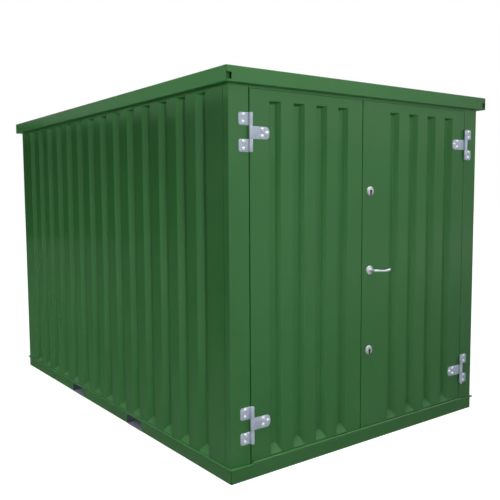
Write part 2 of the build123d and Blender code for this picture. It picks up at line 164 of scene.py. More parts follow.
class CabinFrameSizes(bpy.types.PropertyGroup):
    """Sizes of the folded posts and rails."""

    post_sheet: length("Post sheet", "Thickness of the post sheet", 0.0025)
    post_return: length("Post return", "Width of a post on the side walls", 0.048)
    post_face: length("Post face", "Width of a front post on the door end", 0.130)
    post_lip: length("Post lip", "Depth of the lip behind a panel's edge", 0.0355)
    stop_depth: length("Stop depth", "Depth of the jamb to the door stop", 0.045)
    stop_lip: length("Stop lip", "Width of the door stop", 0.020)
    fold: length("Fold", "Outer radius of the folds", 0.004)
    base_sheet: length("Base sheet", "Thickness of the base sheet", 0.003)
    base_flange: length("Base flange", "Depth of the base channel", 0.050)
    sill_out: length("Sill lip", "How far the sill lip stands out", 0.012)
    sill_height: length("Sill height", "Height of the sill lip", 0.008)
    sill_bend: length("Sill bend", "Rounding of the sill's edges", 0.0022)
    pocket_width: length("Pocket width", "Width of a fork pocket", 0.2006)
    pocket_height: length("Pocket height", "Height of a fork pocket", 0.0643)
    pocket_spacing: length("Pocket spacing", "Distance between the fork pockets", 0.905)
    roof_sheet: length("Roof sheet", "Thickness of the roof rails", 0.002)
    roof_flange: length("Roof flange", "Width of the fascia's top flange", 0.032)
    roof_lip: length("Roof lip", "Height of the lip under the top flange", 0.012)
    gutter_width: length("Gutter width", "Width of the fascia's underside", 0.090)
    gutter_upstand: length("Gutter upstand", "Height of the gutter's inner wall", 0.035)
    drain_size: length("Drain notch", "Width and height of the drain notch", 0.034)
    drain_rise: length("Drain rise", "Height of the drain notch above the underside", 0.012)
    drain_slit: length("Drain slit", "Width of the slit below the drain notch", 0.005)
    bracket_inset: length("Bracket inset", "From the fascia to a corner bracket in the gutter", 0.030)
    bracket_reach: length("Bracket reach", "Length of each leg of a corner bracket", 0.110)
    bracket_height: length("Bracket height", "Height of a corner bracket", 0.062)
    bracket_sheet: length("Bracket sheet", "Thickness of a corner bracket", 0.003)


class CabinHingeSizes(bpy.types.PropertyGroup):
    """Sizes of the strap hinges and their bolts."""

    plate: length("Plate", "Thickness of a hinge plate", 0.004)
    height: length("Height", "Height of a hinge plate", 0.065)
    step: length("Step", "Distance between the plates on one pin", 0.0675)
    flange_reach: length("Flange reach", "From the pin to the end of a flange", 0.071)
    strap_reach: length("Strap reach", "From the pin to the end of a strap", 0.131)
    flange_corner: length("Flange corner", "Corner radius of a flange", 0.012)
    strap_corner: length("Strap corner", "Corner radius of a strap", 0.025)
    knuckle: length("Knuckle", "Outer radius of a knuckle", knuckle_radius)
    roll: degrees("Roll", "How far a knuckle is rolled round the pin", 300)
    stand_off: length("Stand-off", "From the door's face to the pin's axis", 0.013)
    pin: length("Pin", "Radius of the pin", 0.0066)
    pin_short: length("Pin short", "How much shorter the pin is than its knuckles", 0.002)
    edge: length("Edge", "Rounding of the plate's edges", 0.0006)
    bolt: length("Bolt head", "Radius of a bolt head", 0.0122)
    bolt_rise: length("Bolt rise", "Height of a bolt head", 0.0072)
    flange_bolt: length("Flange bolts", "From the pin to the bolts of a flange", 0.041)
    flange_spread: length("Flange spread", "Between the two bolts of a flange", 0.036)
    strap_bolt: length("Strap bolts", "From the pin to the first bolts of a strap", 0.082)
    strap_end_bolt: length("Strap end bolt", "From the pin to the last bolt of a strap", 0.114)
    strap_spread: length("Strap spread", "Between the first two bolts of a strap", 0.036)
    nut: length("Nut", "Radius of a nut across its corners", 0.0098)
    nut_rise: length("Nut rise", "Thickness of a nut", 0.0065)
    nut_edge: length("Nut edge", "Rounding of the edges of nuts and washers", 0.0004)
    washer: length("Washer", "Radius of a washer", 0.0125)
    washer_rise: length("Washer rise", "Thickness of a washer", 0.0016)


class CabinLockSizes(bpy.types.PropertyGroup):
    """Sizes of the lock roses and the lever handle."""

    rose: length("Rose", "Radius of a rose", 0.0275)
    rose_rise: length("Rose rise", "Thickness of a rose", 0.008)
    rose_edge: length("Rose edge", "Rounding of a rose", 0.004)
    rose_dome: length("Rose dome", "How far a rose's middle stands above its rim", 0.0004)
    collar: length("Collar", "Radius of the collar about the lever's neck", 0.012)
    collar_rise: length("Collar rise", "Length of the collar", 0.006)
    collar_fillet: length("Collar fillet", "Fillet at the collar's foot", 0.002)
    collar_chamfer: length("Collar chamfer", "Chamfer at the collar's end", 0.001)
    neck: length("Neck", "Radius of the lever's neck", 0.008)
    reach: length("Reach", "From the neck's axis to the lever's tip", 0.132)
    stand_off: length("Stand-off", "From the door's face to the lever's middle", 0.050)
    bend: length("Bend", "Radius of the neck's bend", 0.014)
    height: length("Height", "Greatest height of the lever", 0.017)
    depth: length("Depth", "Greatest depth of the lever", 0.014)
    droop: length("Droop", "How far the lever droops", 0.007)


class CabinFinishes(bpy.types.PropertyGroup):
    """Colours of the cabin's finishes."""

    green: tint("Green", "Green enamel", (0.030, 0.136, 0.034))
    green_deep: tint("Deep green", "Enamel where it is thicker", (0.026, 0.124, 0.029))
    dust: tint("Dust", "Dust low on the walls", (0.16, 0.17, 0.12))
    zinc: tint("Zinc", "Zinc-plated hinges", (0.43, 0.485, 0.58))
    zinc_deep: tint("Dark zinc", "Darker grains of the zinc", (0.34, 0.39, 0.47))
    bolt: tint("Bolts", "Bright zinc of the bolts", (0.80, 0.86, 0.92))
    bolt_deep: tint("Dark bolts", "Darker grains of the bolts", (0.66, 0.72, 0.80))
    # The tunnel colours are zinc darkened as painted shade inside the fork tunnels; the lit floor colour is
    # painted light on their faces that look up.
    tunnel: tint("Tunnel", "Weathered zinc of the fork tunnels", (0.11, 0.125, 0.165))
    tunnel_deep: tint("Dark tunnel", "Darker grains of the fork tunnels", (0.07, 0.08, 0.11))
    tunnel_floor: tint("Tunnel floor", "Zinc worn bright on the tunnels' floor", (0.62, 0.68, 0.76))
    chrome: tint("Chrome", "Bright handle and roses", (0.60, 0.64, 0.68))
    # The key cylinders' near black is painted shade, standing in for the dark keyways in the lock roses.
    cylinder: tint("Cylinder", "Key cylinders", (0.05, 0.05, 0.055))
    case: tint("Lock case", "Lock cases inside the leaf", (0.36, 0.36, 0.35))
    board: tint("Board", "Floor boards", (0.27, 0.17, 0.09))
    board_deep: tint("Board grain", "Dark grain of the floor boards", (0.16, 0.09, 0.045))


class CabinStudio(bpy.types.PropertyGroup):
    """Camera and light."""

    eye: FloatVectorProperty(
        name="Eye", description="Place of the camera", default=(-2.998, -4.169, 1.515), subtype="TRANSLATION"
    )
    heading: degrees("Heading", "Turn of the view from +Y to +X", 35.12)
    pitch: degrees("Pitch", "Tilt of the view above the horizon", -4.84)
    roll: degrees("Roll", "Roll of the view", -0.59)
    lens: amount("Lens", "Focal length in millimetres", 46.81)
    sensor: amount("Sensor", "Width of the sensor in millimetres", 36.0)
    shift: amount("Shift", "Sideways shift of the lens", 0.07)
    sight: length("Sight", "How far the camera sees", 200.0)
    ambient: amount("Ambient", "Strength of the light all round", 0.45)
    front: watts("Front lamp", "Power of the lamp before the door", 17.0)
    side: watts("Side lamp", "Power of the lamp before the left wall", 52.0)
    corner: watts("Corner lamp", "Power of the low lamp at the near corner", 1.0)
    low: watts("Low lamp", "Power of the low lamp beside the left wall", 11.0)
    overhead: watts("Overhead lamp", "Power of the lamp above the near corner", 42.0)
    eave: watts("Eave lamp", "Power of the lamp along the left fascia", 0.8)
    floor: factor("Floor", "Lightness of the floor", 0.50)
    floor_lift: factor("Floor lift", "Extra lightness of the floor to the camera", 0.9)
    ground_dark: amount("Dark ground", "Darkest of the ground that the paint mirrors", 0.10)
    ground_light: amount("Light ground", "Lightest of the ground that the paint mirrors", 0.50)
    ground_tone: amount("Ground tone", "Mirrored ground under the cabin", 0.147)
    ground_slope: FloatVectorProperty(
        name="Ground slope",
        description="Change of the mirrored ground for each metre",
        default=(-0.018, -0.062, 0.0),
    )
    sky: amount("Sky", "Brightness of the sky that the paint mirrors", 0.50)
    bright_sky: amount("Bright sky", "Brightness of the sky beside the door end", 1.0)
    ceiling: amount("Ceiling", "Brightness of the card overhead", 2.6)
    surround: length("Surround", "From the cabin to the band that its paint mirrors", 30.0)
    horizon: length("Horizon", "Height of the pale band all round", 3.7)


class CabinSettings(bpy.types.PropertyGroup):
    """All sizes and finishes of the cabin."""

    walls: PointerProperty(type=CabinWallSizes)
    doors: PointerProperty(type=CabinDoorSizes)
    folds: PointerProperty(type=CabinFrameSizes)
    hinges: PointerProperty(type=CabinHingeSizes)
    locks: PointerProperty(type=CabinLockSizes)
    finishes: PointerProperty(type=CabinFinishes)
    studio: PointerProperty(type=CabinStudio)


# Places

def side_place(side, reach=0.0):
    """Turns a piece drawn on the front, outer face on y = 0, to a side of the body or a reach outside it."""
    distance = reach + (half_width if side in long_sides else half_length)
    return Matrix.Rotation(math.radians(side_turns[side]), 4, "Z") @ Matrix.Translation((0, -distance, 0))


def side_run(side, reach=0.0):
    """Half the length of a side of the body, or of one that stands a reach outside it."""
    return reach + (half_length if side in long_sides else half_width)


def side_box(node, place):
    """Lowest and highest corner of a CAD node, seen from its own side of the body."""
    back = place.inverted()
    corners = [back @ Vector(corner) for corner in product(*zip(*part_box(node)))]
    return (
        Vector([min(values) for values in zip(*corners)]),
        Vector([max(values) for values in zip(*corners)]),
    )


def hinge_axis(level, hand, sizes):
    """Middle of a hinge's pin."""
    low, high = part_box(f"{level}_{hand}_hinge_strap")
    return Vector((-leaf_ways[hand] * hinge_axis_x, -half_length - sizes.stand_off, (low.z + high.z) / 2))


# Materials

class FinishBuilder:
    """Node tree of one finish, with its shader and its object coordinates."""

    def __init__(self, name):
        self.material = bpy.data.materials.new(name)
        self.material.use_nodes = True
        self.nodes = self.material.node_tree.nodes
        self.links = self.material.node_tree.links
        self.shader = self.nodes["Principled BSDF"]
        self.place = self.nodes.new("ShaderNodeTexCoord").outputs["Object"]

    def set(self, **values):
        """Gives the shader's own sockets plain values, or joins them to other nodes."""
        for name, value in values.items():
            socket = self.shader.inputs[name.replace("_", " ")]
            if isinstance(value, bpy.types.NodeSocket):
                self.join(value, socket)
            else:
                socket.default_value = value

    def join(self, source, target):
        """Joins one node's output to another's input."""
        self.links.new(source, target)

    def stretched(self, scale):
        """Object coordinates drawn out along the axes."""
        mapping = self.nodes.new("ShaderNodeMapping")
        mapping.inputs["Scale"].default_value = scale
        self.join(self.place, mapping.inputs["Vector"])
        return mapping.outputs["Vector"]

    def noise(self, scale, detail=2.0, vector=None, roughness=0.5):
        """Soft cloud of values about one half."""
        node = self.nodes.new("ShaderNodeTexNoise")
        node.inputs["Scale"].default_value = scale
        node.inputs["Detail"].default_value = detail
        node.inputs["Roughness"].default_value = roughness
        self.join(vector or self.place, node.inputs["Vector"])
        return node.outputs["Fac"]

    def grains(self, scale):
        """Flat crystals, each with its own value."""
        node = self.nodes.new("ShaderNodeTexVoronoi")
        node.inputs["Scale"].default_value = scale
        self.join(self.place, node.inputs["Vector"])
        split = self.nodes.new("ShaderNodeSeparateColor")
        self.join(node.outputs["Color"], split.inputs["Color"])
        return split.outputs["Red"]

    def spread(self, value, span, to=(0.0, 1.0)):
        """Moves a span of values to another span, and holds what lies outside it."""
        node = self.nodes.new("ShaderNodeMapRange")
        node.inputs["From Min"].default_value = span[0]
        node.inputs["From Max"].default_value = span[1]
        node.inputs["To Min"].default_value = to[0]
        node.inputs["To Max"].default_value = to[1]
        self.join(value, node.inputs["Value"])
        return node.outputs["Result"]

    def facing_up(self):
        """One on surfaces that face up, nought on upright ones."""
        split = self.nodes.new("ShaderNodeSeparateXYZ")
        self.join(self.nodes.new("ShaderNodeNewGeometry").outputs["Normal"], split.inputs["Vector"])
        return self.spread(split.outputs["Z"], (0.5, 0.9))

    def times(self, first, second):
        """Product of two values."""
        node = self.nodes.new("ShaderNodeMath")
        node.operation = "MULTIPLY"
        self.join(first, node.inputs[0])
        self.join(second, node.inputs[1])
        return node.outputs["Value"]

    def along(self, direction):
        """How far a place lies along a direction."""
        node = self.nodes.new("ShaderNodeVectorMath")
        node.operation = "DOT_PRODUCT"
        node.inputs[1].default_value = direction
        self.join(self.place, node.inputs[0])
        return node.outputs["Value"]

    def mixed(self, share, first, second):
        """Blend of two colours, each a plain colour or another blend."""
        node = self.nodes.new("ShaderNodeMix")
        node.data_type = "RGBA"
        self.join(share, node.inputs["Factor"])
        for socket, colour in ((node.inputs["A"], first), (node.inputs["B"], second)):
            if isinstance(colour, bpy.types.NodeSocket):
                self.join(colour, socket)
            else:
                socket.default_value = (*colour, 1.0)
        return node.outputs["Result"]

    def bump(self, value, strength, distance, below=None):
        """Fine relief, laid over another relief."""
        node = self.nodes.new("ShaderNodeBump")
        node.inputs["Strength"].default_value = strength
        node.inputs["Distance"].default_value = distance
        self.join(value, node.inputs["Height"])
        if below:
            self.join(below, node.inputs["Normal"])
        return node.outputs["Normal"]

    def emission(self, strength):
        """White light of a strength that another node gives."""
        node = self.nodes.new("ShaderNodeEmission")
        self.join(strength, node.inputs["Strength"])
        return node.outputs["Emission"]

    def show(self, surface):
        """Shows another shader in place of the usual one."""
        self.nodes.remove(self.shader)
        self.join(surface, self.nodes["Material Output"].inputs["Surface"])


def green_enamel(finishes):
    """Semi-gloss green enamel: cloudy, with faint orange peel, slightly buckled sheet and a little dust."""
    paint = FinishBuilder("green_enamel")
    clouds = paint.spread(paint.noise(1.7, 4.0), (0.3, 0.7))
    specks = paint.spread(paint.noise(95.0, 3.0), (0.62, 0.80), (0.0, 0.03))
    coat = paint.mixed(clouds, finishes.green_deep, finishes.green)
    coat = paint.mixed(specks, coat, finishes.dust)
    low = paint.spread(paint.along((0, 0, 1)), (0.0, 0.40), (0.05, 0.0))
    drift = paint.spread(paint.noise(6.0, 5.0), (0.35, 0.75))
    buckle = paint.bump(paint.noise(2.3, 1.0, paint.stretched((1.0, 1.0, 0.45))), 0.12, 0.012)
    paint.set(
        Base_Color=paint.mixed(paint.times(low, drift), coat, finishes.dust),
        Roughness=paint.spread(paint.noise(3.1, 3.0), (0.3, 0.7), (0.09, 0.14)),
        Normal=paint.bump(paint.noise(420.0, 1.0), 0.06, 0.0004, buckle),
        IOR=1.48,
    )
    return paint.material


def zinc_plate(name, deep, light, grain, roughness, metal):
    """Zinc over steel: small crystals of slightly different greys."""
    zinc = FinishBuilder(name)
    crystals = zinc.grains(grain)
    zinc.set(
        Base_Color=zinc.mixed(crystals, deep, light),
        Roughness=zinc.spread(crystals, (0.0, 1.0), (roughness - 0.06, roughness + 0.08)),
        Normal=zinc.bump(zinc.noise(240.0, 2.0), 0.05, 0.0004),
        Metallic=metal,
    )
    return zinc.material


def plated_hinge(finishes):
    """Dull zinc of the hinge plates."""
    return zinc_plate(
        "plated_hinge", finishes.zinc_deep, finishes.zinc, grain=210.0, roughness=0.34, metal=0.2
    )


def bolt_zinc(finishes):
    """Bright zinc of the bolts, nuts and washers."""
    return zinc_plate("bolt_zinc", finishes.bolt_deep, finishes.bolt, grain=420.0, roughness=0.24, metal=0.65)


def tunnel_steel(finishes):
    """Zinc painted dark as the shade inside the tunnels, and painted light on the faces that look up."""
    steel = FinishBuilder("tunnel_steel")
    crystals = steel.grains(70.0)
    # Painted shade: the dark zinc inside the tunnels.
    shaded_zinc = steel.mixed(crystals, finishes.tunnel_deep, finishes.tunnel)
    steel.set(
        # Painted light: faces that look up turn from the shaded zinc to the lit floor colour.
        Base_Color=steel.mixed(steel.facing_up(), shaded_zinc, finishes.tunnel_floor),
        Roughness=steel.spread(crystals, (0.0, 1.0), (0.36, 0.5)),
        Metallic=0.2,
    )
    return steel.material


def bright_chrome(finishes):
    """Polished plating with faint handling marks."""
    chrome = FinishBuilder("bright_chrome")
    chrome.set(
        Base_Color=(*finishes.chrome, 1.0),
        Roughness=chrome.spread(chrome.noise(160.0, 4.0), (0.35, 0.75), (0.16, 0.28)),
        Metallic=0.6,
    )
    return chrome.material


def satin_metal(name, colour, roughness):
    """Drawn or cast metal with a soft sheen."""
    metal = FinishBuilder(name)
    tone = metal.spread(metal.noise(70.0, 3.0), (0.3, 0.7))
    darker = [part * 0.8 for part in colour]
    sheen = metal.noise(190.0, 2.0)
    metal.set(
        Base_Color=metal.mixed(tone, darker, colour),
        Roughness=metal.spread(sheen, (0.3, 0.7), (roughness - 0.05, roughness + 0.05)),
        Metallic=1.0,
    )
    return metal.material


def key_cylinder(finishes):
    """Drawn metal of the key cylinders, painted nearly black as the shade in their keyways."""
    return satin_metal("key_cylinder", finishes.cylinder, roughness=0.3)


def cast_case(finishes):
    """Cast metal of the lock cases."""
    return satin_metal("cast_case", finishes.case, roughness=0.42)


def floor_plywood(finishes):
    """Varnished plywood with its grain across the cabin."""
    board = FinishBuilder("floor_plywood")
    grain = board.noise(9.0, 6.0, board.stretched((0.35, 6.0, 6.0)), 0.62)
    wood = board.mixed(board.spread(grain, (0.36, 0.66)), finishes.board_deep, finishes.board)
    scuffs = board.spread(board.noise(4.0, 6.0), (0.60, 0.80), (0.0, 0.35))
    board.set(
        Base_Color=board.mixed(scuffs, wood, finishes.dust),
        Roughness=board.spread(grain, (0.3, 0.7), (0.45, 0.62)),
        Normal=board.bump(grain, 0.12, 0.0008),
    )
    return board.material


def finish(maker):
    """The finish of one maker function, made the first time it is asked for."""
    made = bpy.data.materials.get(maker.__name__)
    return made or maker(bpy.context.scene.site_cabin.finishes)


def paint_node(node, maker):
    """Gives a CAD node a finish."""
    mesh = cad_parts[node].data
    if not mesh.materials:
        mesh.materials.append(None)
    for index in range(len(mesh.materials)):
        mesh.materials[index] = finish(maker)


# Mesh work

# Turns a strip's line into depth and height, and its run along the side
along_side = Matrix(((0, 0, 1, 0), (1, 0, 0, 0), (0, 1, 0, 0), (0, 0, 0, 1)))


def add_piece(bm, name, body, maker, nodes=(), sharp=38.0):
    """Makes a piece of the cabin from a finished bmesh, in place of the CAD nodes it stands for."""
    mesh = bpy.data.meshes.new(name)
    bm.to_mesh(mesh)
    bm.free()
    mesh.materials.append(finish(maker))
    mesh.polygons.foreach_set("use_smooth", [True] * len(mesh.polygons))
    mesh.set_sharp_from_angle(angle=math.radians(sharp))
    piece = bpy.data.objects.new(name, mesh)
    bpy.context.scene.collection.objects.link(piece)
    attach(piece, body)
    if nodes:
        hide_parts(*nodes)
    return piece


def add_green_sheet(bm, name, body, nodes=()):
    """Makes a piece of green sheet, with its large faces shaded flat right up to their rounded edges."""
    piece = add_piece(bm, name, body, green_enamel, nodes)
    normals = piece.modifiers.new("flat_faces", "WEIGHTED_NORMAL")
    normals.keep_sharp = True
    normals.weight = 80


def round_edges(bm, geometry, width, segments, affect="EDGES"):
    """Rounds edges to a bend, or the corners of a sheet to a curve."""
    bmesh.ops.bevel(
        bm,
        geom=geometry,
        offset=width,
        offset_type="OFFSET",
        segments=segments,
        profile=0.5,
        affect=affect,
        clamp_overlap=True,
        material=-1,
    )


def bent_edges(bm, least=slight_bend):
    """Edges along which the sheet changes direction."""
    bm.normal_update()
    return [edge for edge in bm.edges if edge.is_manifold and edge.calc_face_angle() > least]


def face_outwards(bm, face, outwards):
    """Turns a whole sheet so that one of its faces looks outwards."""
    bmesh.ops.recalc_face_normals(bm, faces=bm.faces[:])
    if face.normal.dot(Vector(outwards)) < 0:
        bmesh.ops.reverse_faces(bm, faces=bm.faces[:])


def thicken(bm, sheet):
    """Gives a sheet its thickness, behind its outer face."""
    bmesh.ops.solidify(bm, geom=bm.faces[:], thickness=sheet)


def fold(bm, radius, sheet, segments=4):
    """Rounds the bends of a folded strip and gives it its thickness."""
    round_edges(bm, bent_edges(bm), radius, segments)
    thicken(bm, sheet)


def cut_across(bm, point, normal, clear=False):
    """Cuts all faces with a plane, and drops what lies beyond it where asked."""
    bmesh.ops.bisect_plane(
        bm,
        geom=bm.verts[:] + bm.edges[:] + bm.faces[:],
        plane_co=point,
        plane_no=normal,
        clear_outer=clear,
    )


def new_verts(result):
    """Vertices that an operator made."""
    return [item for item in result["geom"] if isinstance(item, bmesh.types.BMVert)]


def new_edges(result):
    """Edges that an operator made."""
    return [item for item in result["geom"] if isinstance(item, bmesh.types.BMEdge)]


def span(verts, axis):
    """Least and greatest of some vertices along an axis."""
    values = [vert.co[axis] for vert in verts]
    return min(values), max(values)


def press_flutes(bm, foot, head, centres, width, sizes):
    """Presses a row of upright flutes with ramped ends into a flat sheet."""
    for centre in centres:
        cut_across(bm, (centre - width / 2, 0, 0), (1, 0, 0))
        cut_across(bm, (centre + width / 2, 0, 0), (1, 0, 0))
    cut_across(bm, (0, 0, foot), (0, 0, 1))
    cut_across(bm, (0, 0, head), (0, 0, 1))
    mouths = {}
    for face in bm.faces:
        middle = face.calc_center_median()
        for centre in centres:
            if abs(middle.x - centre) < width / 4 and foot < middle.z < head:
                mouths[face] = centre
    bmesh.ops.inset_individual(bm, faces=list(mouths), thickness=sizes.slope / 4)
    for face, centre in mouths.items():
        middle = face.calc_center_median()
        for vert in face.verts:
            side = 1 if vert.co.x > centre else -1
            level = head - sizes.crown if vert.co.z > middle.z else foot + sizes.ramp
            vert.co = (centre + side * (width / 2 - sizes.slope), sizes.depth, level)


def fold_lips(bm, low, high, lip):
    """Folds a sheet's edges back to its full depth, and lips inwards from there."""
    outline = [edge for edge in bm.edges if edge.is_boundary]
    back = bmesh.ops.extrude_edge_only(bm, edges=outline)
    bmesh.ops.translate(bm, verts=new_verts(back), vec=(0, high.y, 0))
    ends = [edge for edge in new_edges(back) if edge.is_boundary]
    for vert in new_verts(bmesh.ops.extrude_edge_only(bm, edges=ends)):
        for axis in (0, 2):
            if abs(vert.co[axis] - low[axis]) < close_by:
                vert.co[axis] += lip
            elif abs(vert.co[axis] - high[axis]) < close_by:
                vert.co[axis] -= lip


def pressed_pan(low, high, centres, width, sizes, press_bend, fold_bend=0.0):
    """Sheet with folded edges and lips, outer face on y = 0, pressed with a row of upright flutes."""
    bm = bmesh.new()
    corners = ((low.x, 0, low.z), (high.x, 0, low.z), (high.x, 0, high.z), (low.x, 0, high.z))
    bm.faces.new([bm.verts.new(corner) for corner in corners])
    press_flutes(bm, low.z + sizes.foot, high.z - sizes.head, centres, width, sizes)
    pressed = bent_edges(bm)
    fold_lips(bm, low, high, sizes.lip)
    round_edges(bm, pressed, press_bend, 3)
    if fold_bend:
        edges = bent_edges(bm, sharp_bend)
        outline = [edge for edge in edges if all(abs(vert.co.y) < close_by for vert in edge.verts)]
        round_edges(bm, outline, fold_bend, 3)
    flats = [face for face in bm.faces if abs(face.normal.y) > 0.99]
    face_outwards(bm, max(flats, key=lambda face: face.calc_area()), (0, -1, 0))
    thicken(bm, sizes.sheet)
    return bm


def folded_strip(points, start, end, place):
    """Sheet folded along a line, with its inside to the left of the line, and moved into place.

    The line is drawn in the first two axes, and the strip runs along the third from start to end.
    """
    bm = bmesh.new()
    line = [bm.verts.new((*point, start)) for point in points]
    edges = [bm.edges.new(pair) for pair in zip(line, line[1:])]
    run = bmesh.ops.extrude_edge_only(bm, edges=edges)
    bmesh.ops.translate(bm, verts=new_verts(run), vec=(0, 0, end - start))
    first = Vector(points[1]) - Vector(points[0])
    face_outwards(bm, edges[0].link_faces[0], (first.y, -first.x, 0))
    bm.transform(place)
    return bm


def mitred_rail(line, half_run, depth):
    """Rail along a side, from a line drawn in depth and height, with both ends cut at 45 degrees."""
    bm = folded_strip(line, -half_run - depth, half_run + depth, along_side)
    cut_across(bm, (half_run, 0, 0), (1, 1, 0), True)
    cut_across(bm, (-half_run, 0, 0), (-1, 1, 0), True)
    return bm


def drop_faces(bm, inside):
    """Cuts away the faces whose middle passes a test."""
    gone = [face for face in bm.faces if inside(face.calc_center_median())]
    bmesh.ops.delete(bm, geom=gone, context="FACES")


def lathe(profile, steps):
    """Round piece about the axis that leaves the door, from a line of radius and height, facing -y."""
    bm = bmesh.new()
    line = [bm.verts.new((radius, -height, 0)) for radius, height in profile]
    edges = [bm.edges.new(pair) for pair in zip(line, line[1:])]
    bmesh.ops.spin(
        bm,
        geom=line + edges,
        cent=(0, 0, 0),
        axis=(0, 1, 0),
        angle=math.tau,
        steps=steps,
        use_merge=True,
    )
    bmesh.ops.remove_doubles(bm, verts=bm.verts[:], dist=merge_by)
    bmesh.ops.recalc_face_normals(bm, faces=bm.faces[:])
    return bm


def turned_bar(radius, run, sides, edge):
    """Upright bar or disc about the origin, with rounded edges."""
    bm = bmesh.new()
    bmesh.ops.create_cone(bm, cap_ends=True, segments=sides, radius1=radius, radius2=radius, depth=run)
    round_edges(bm, bent_edges(bm, sharp_bend), edge, 2)
    return bm


def turned_rose(sizes, inner, steps=56, arc_middle=0.3):
    """Rose with a rounded rim, turned from the door to a line of inner points above the rim's top."""
    rise = sizes.rose_rise
    edge = sizes.rose_edge
    rim = [
        (sizes.rose, 0),
        (sizes.rose, rise - edge),
        (sizes.rose - edge * arc_middle, rise - edge * arc_middle),
        (sizes.rose - edge, rise),
    ]
    return lathe(rim + [(radius, rise + height) for radius, height in inner], steps)


def copy_into(bm, shape, place):
    """Adds a copy of one shape to a growing piece."""
    mesh = bpy.data.meshes.new("copy")
    shape.to_mesh(mesh)
    mesh.transform(place)
    if place.determinant() < 0:
        mesh.flip_normals()
    bm.from_mesh(mesh)
    bpy.data.meshes.remove(mesh)


# Operators

class SITECABIN_OT_wall_panels(bpy.types.Operator):
    """Press the five wall panels"""

    bl_idname = "site_cabin.wall_panels"
    bl_label = "Wall panels"

    def execute(self, context):
        sizes = context.scene.site_cabin.walls
        panels = [f"{side}_wall_{end}_panel" for side in long_sides for end in ("front", "back")]
        for node in (*panels, "back_wall"):
            place = side_place(node.split("_")[0])
            low, high = side_box(node, place)
            first = 0.0 if node == "back_wall" else sizes.pitch / 2
            reach = math.ceil((high.x - low.x) / sizes.pitch)
            room = sizes.width / 2 + sizes.margin
            spots = [first + sizes.pitch * number for number in range(-reach, reach)]
            centres = [spot for spot in spots if low.x + room < spot < high.x - room]
            bm = pressed_pan(low, high, centres, sizes.width, sizes, sizes.press_bend)
            bm.transform(place)
            add_green_sheet(bm, f"pressed_{node}", "cabin", [node])
        return {"FINISHED"}


class SITECABIN_OT_door_leaves(bpy.types.Operator):
    """Press the two door leaves"""

    bl_idname = "site_cabin.door_leaves"
    bl_label = "Door leaves"

    def execute(self, context):
        sizes = context.scene.site_cabin.doors
        walls = context.scene.site_cabin.walls
        place = side_place("front")
        for hand, way in leaf_ways.items():
            node = f"{hand}_door_leaf"
            low, high = side_box(node, place)
            low.z -= sizes.cover
            high.z += sizes.cover
            width = getattr(sizes, f"{hand}_width")
            pitch = getattr(sizes, f"{hand}_pitch")
            hinge_flat = getattr(sizes, f"{hand}_hinge_flat")
            meeting_flat = getattr(sizes, f"{hand}_meeting_flat")
            hinge_edge = low.x if hand == "left" else high.x
            count = int((high.x - low.x - hinge_flat - meeting_flat - width) // pitch) + 1
            first = hinge_edge + way * (hinge_flat + width / 2)
            centres = sorted(first + way * pitch * number for number in range(count))
            bm = pressed_pan(low, high, centres, width, sizes, walls.press_bend, walls.fold_bend)
            bm.transform(place)
            add_green_sheet(bm, f"pressed_{node}", f"{hand}_door", [node])
        return {"FINISHED"}


class SITECABIN_OT_posts(bpy.types.Operator):
    """Fold the four corner posts and the threshold, and paint the doorway's head and the roof's bearers"""

    bl_idname = "site_cabin.posts"
    bl_label = "Posts"

    def execute(self, context):
        sizes = context.scene.site_cabin.folds
        start = [(sizes.post_lip, sizes.post_return), (0, sizes.post_return), (0, 0)]
        front = start + [
            (sizes.post_face, 0),
            (sizes.post_face, sizes.stop_depth),
            (sizes.post_face + sizes.stop_lip, sizes.stop_depth),
        ]
        back = start + [(sizes.post_return, 0), (sizes.post_return, sizes.post_lip)]
        for end, line in (("front", front), ("back", back)):
            for hand in long_sides:
                mirrored = (hand == "right") == (end == "front")
                drawn = [(-x, y) for x, y in reversed(line)] if mirrored else line
                corner = Matrix.Translation((half_width if mirrored else -half_width, 0, 0))
                bm = folded_strip(drawn, base_top, fascia_foot, side_place(end) @ corner)
                fold(bm, sizes.fold, sizes.post_sheet)
                node = f"{end}_{hand}_post"
                add_green_sheet(bm, f"folded_{node}", "cabin", [node])
        self.fold_threshold(sizes)
        for node in ("door_header", "roof_bearers"):
            paint_node(node, green_enamel)
        return {"FINISHED"}

    def fold_threshold(self, sizes):
        """Adds the folded strip under the leaves."""
        place = side_place("front")
        low, high = side_box("door_threshold", place)
        line = [(high.y, low.z), (high.y, high.z), (low.y, high.z), (low.y, low.z)]
        bm = folded_strip(line, low.x, high.x, along_side)
        fold(bm, sizes.fold, sizes.post_sheet)
        bm.transform(place)
        add_green_sheet(bm, "folded_door_threshold", "cabin", ["door_threshold"])


class SITECABIN_OT_base_rails(bpy.types.Operator):
    """Fold the four base rails with their sill lips and fork pockets"""

    bl_idname = "site_cabin.base_rails"
    bl_label = "Base rails"

    def execute(self, context):
        sizes = context.scene.site_cabin.folds
        line = [
            (sizes.base_flange, base_top),
            (-sizes.sill_out, base_top),
            (-sizes.sill_out, base_top - sizes.sill_height),
            (0, base_top - sizes.sill_height),
            (0, 0),
            (sizes.base_flange, 0),
        ]
        for side in side_turns:
            bm = mitred_rail(line, side_run(side), sizes.base_flange)
            if side in long_sides:
                self.cut_pockets(bm, sizes)
            fold(bm, sizes.sill_bend, sizes.base_sheet, 3)
            bm.transform(side_place(side))
            node = f"base_{side}_rail"
            add_green_sheet(bm, f"folded_{node}", "cabin", [node])
        return {"FINISHED"}

    def cut_pockets(self, bm, sizes):
        """Cuts the two fork pockets out of a long rail's foot."""
        for place in (-1, 1):
            for way in (-1, 1):
                edge = place * sizes.pocket_spacing / 2 + way * sizes.pocket_width / 2
                cut_across(bm, (edge, 0, 0), (1, 0, 0))
        cut_across(bm, (0, 0, sizes.pocket_height), (0, 0, 1))
        drop_faces(
            bm,
            lambda middle: middle.z < sizes.pocket_height
            and abs(abs(middle.x) - sizes.pocket_spacing / 2) < sizes.pocket_width / 2,
        )


